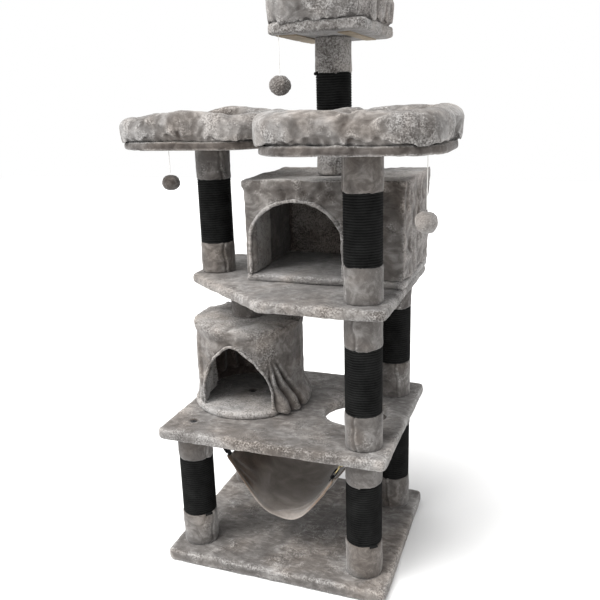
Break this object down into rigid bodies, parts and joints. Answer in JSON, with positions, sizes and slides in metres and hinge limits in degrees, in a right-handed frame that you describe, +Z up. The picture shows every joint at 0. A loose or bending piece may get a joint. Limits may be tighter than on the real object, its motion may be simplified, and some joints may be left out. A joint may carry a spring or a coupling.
{
  "type": "cat tree",
  "caption": "Tall plush-covered cat tree with rope-wound posts, a round den, a box den, padded perches, a clip-on hammock and hanging pom-poms.",
  "frame": {"origin": "centre of the base board's underside, on the floor", "axes": "+Z up, +X to the right seen from the front, +Y to the back"},
  "size_m": [0.896, 0.605, 1.4566],
  "materials": {
    "plush": "short-pile mottled grey-taupe plush",
    "plush_light": "lighter grey-taupe plush over padding",
    "velvet": "smooth taupe velvet",
    "rope": "wound black sisal rope",
    "webbing": "woven black webbing",
    "string": "thin white string",
    "brass": "bright, slightly worn",
    "bolts": "black, satin"
  },
  "bodies": {
    "tree": {"base_board": "plush", "middle_platform": "plush", "upper_platform": "plush", "round_den_wall": "plush", "round_den_roof": "plush", "box_den_left_wall": "plush", "box_den_right_wall": "plush", "box_den_back_wall": "plush", "box_den_front_wall": "plush", "box_den_roof": "plush", "left_perch_board": "plush", "right_perch_board": "plush", "top_nest_board": "plush", "post_front_left": "plush", "rope_front_left": "rope", "post_front_right": "plush", "rope_front_right": "rope", "post_back_right": "plush", "rope_back_right": "rope", "post_back_left": "plush", "rope_back_left": "rope", "post_middle_front": "plush", "rope_middle_front": "rope", "post_middle_back": "plush", "rope_middle_back": "rope", "post_upper_left": "plush", "rope_upper_left": "rope", "post_upper_right": "plush", "rope_upper_right": "rope", "post_top": "plush", "rope_top": "rope", "post_middle_short": "plush", "round_den_floor": "plush_light", "box_den_floor": "plush_light", "left_perch_rim": "plush_light", "right_perch_rim": "plush_light", "top_nest_rim": "plush_light", "hammock": "velvet", "hook_front_left": "brass", "clip_front_left": "brass", "strap_front_left": "webbing", "hook_front_right": "brass", "clip_front_right": "brass", "strap_front_right": "webbing", "hook_back_left": "brass", "clip_back_left": "brass", "strap_back_left": "webbing", "hook_back_right": "brass", "clip_back_right": "brass", "strap_back_right": "webbing", "bolt_front_left": "bolts", "bolt_back_left": "bolts", "bolt_round_den": "bolts"},
    "top_string": {"string_top": "string"},
    "top_pompom": {"pompom_top": "plush_light"},
    "left_string": {"string_left": "string"},
    "left_pompom": {"pompom_left": "plush_light"},
    "right_string": {"string_right": "string"},
    "right_pompom": {"pompom_right": "plush_light"}
  },
  "joints": [
    {"name": "top_string_swing", "type": "hinge", "parent": "tree", "child": "top_string", "pos_m": [-0.008, -0.038, 1.3393], "axis": [1, 0, 0], "range_deg": [-45, 45]},
    {"name": "top_pompom_swing", "type": "hinge", "parent": "top_string", "child": "top_pompom", "pos_m": [-0.008, -0.038, 1.2543], "axis": [0, 1, 0], "range_deg": [-45, 45]},
    {"name": "left_string_swing", "type": "hinge", "parent": "tree", "child": "left_string", "pos_m": [-0.295, -0.088, 1.0793], "axis": [1, 0, 0], "range_deg": [-45, 45]},
    {"name": "left_pompom_swing", "type": "hinge", "parent": "left_string", "child": "left_pompom", "pos_m": [-0.295, -0.088, 1.0253], "axis": [0, 1, 0], "range_deg": [-45, 45]},
    {"name": "right_string_swing", "type": "hinge", "parent": "tree", "child": "right_string", "pos_m": [0.384, -0.25, 1.0793], "axis": [1, 0, 0], "range_deg": [-45, 45]},
    {"name": "right_pompom_swing", "type": "hinge", "parent": "right_string", "child": "right_pompom", "pos_m": [0.384, -0.25, 0.9713], "axis": [0, 1, 0], "range_deg": [-45, 45]}
  ]
}
